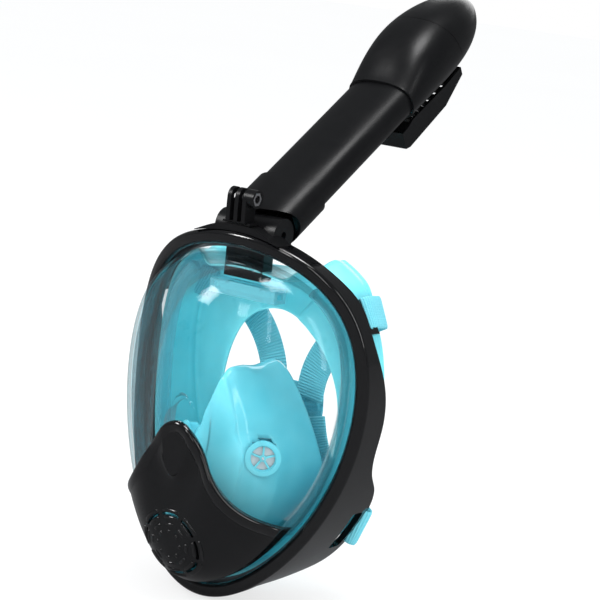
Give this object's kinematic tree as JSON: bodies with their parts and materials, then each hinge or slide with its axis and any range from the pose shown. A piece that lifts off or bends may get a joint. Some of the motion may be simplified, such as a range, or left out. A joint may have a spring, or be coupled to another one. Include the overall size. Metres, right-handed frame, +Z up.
{
  "type": "full-face snorkel mask",
  "caption": "Full-face snorkel mask: clear domed window in a black egg-shaped rim, soft teal skirt, chin drain cover, camera prongs and a back-swept folding snorkel.",
  "frame": {"origin": "under the middle of the mask's bounding box, at the level of the rim's lowest point", "axes": "+Z up along the rim, -Y forward out of the window, +X to the wearer's left"},
  "size_m": [0.1858, 0.2932, 0.3926],
  "materials": {
    "gloss_black": "gloss",
    "satin_black": "satin",
    "clear": "polished",
    "teal_silicone": "soft satin",
    "clear_teal": "polished",
    "teal_webbing": "woven",
    "seal_silicone": "matte",
    "flap_silicone": "satin",
    "steel": "brushed",
    "float_foam": "matte"
  },
  "bodies": {
    "mask": {"front_bezel": "gloss_black", "lens": "clear", "lens_seal": "seal_silicone", "rear_frame": "satin_black", "face_skirt": "teal_silicone", "air_duct_left": "clear_teal", "air_duct_right": "clear_teal", "forehead_manifold": "clear_teal", "nose_pocket": "teal_silicone", "inhale_seat_left": "teal_silicone", "inhale_seat_right": "teal_silicone", "chin_valve_seat": "satin_black", "chin_cover": "satin_black", "snorkel_socket": "satin_black", "socket_screws": "steel", "camera_mount": "gloss_black", "mount_nut": "steel", "upper_strap_left": "teal_webbing", "upper_strap_right": "teal_webbing", "lower_strap_left": "teal_webbing", "lower_strap_right": "teal_webbing", "head_pad": "teal_silicone"},
    "snorkel": {"connector_sleeve": "satin_black", "hinge_pins": "steel", "tube_gasket": "seal_silicone", "snorkel_tube": "satin_black", "head_lower_shell": "satin_black", "head_cap": "satin_black", "rear_grille": "gloss_black", "float_cage": "satin_black", "float_rod": "steel"},
    "float": {"float_body": "float_foam", "float_seal": "seal_silicone"},
    "inhale_flap_l": {"inhale_flap_left": "flap_silicone"},
    "inhale_flap_r": {"inhale_flap_right": "flap_silicone"},
    "drain": {"drain_flap": "flap_silicone"}
  },
  "joints": [
    {"name": "snorkel_fold", "type": "hinge", "parent": "mask", "child": "snorkel", "pos_m": [0, -0.08486, 0.2401], "axis": [-1, 0, 0], "range_deg": [0, 40]},
    {"name": "float_travel", "type": "slide", "parent": "snorkel", "child": "float", "axis": [0, 0.8495, 0.5275], "range_m": [0, 0.008]},
    {"name": "inhale_left", "type": "slide", "parent": "mask", "child": "inhale_flap_l", "axis": [-0.62, 0.7846, 0], "range_m": [0, 0.0015]},
    {"name": "inhale_right", "type": "slide", "parent": "mask", "child": "inhale_flap_r", "axis": [0.62, 0.7846, 0], "range_m": [0, 0.0015]},
    {"name": "drain_open", "type": "slide", "parent": "mask", "child": "drain", "axis": [0, -1, 0], "range_m": [0, 0.0012]}
  ]
}
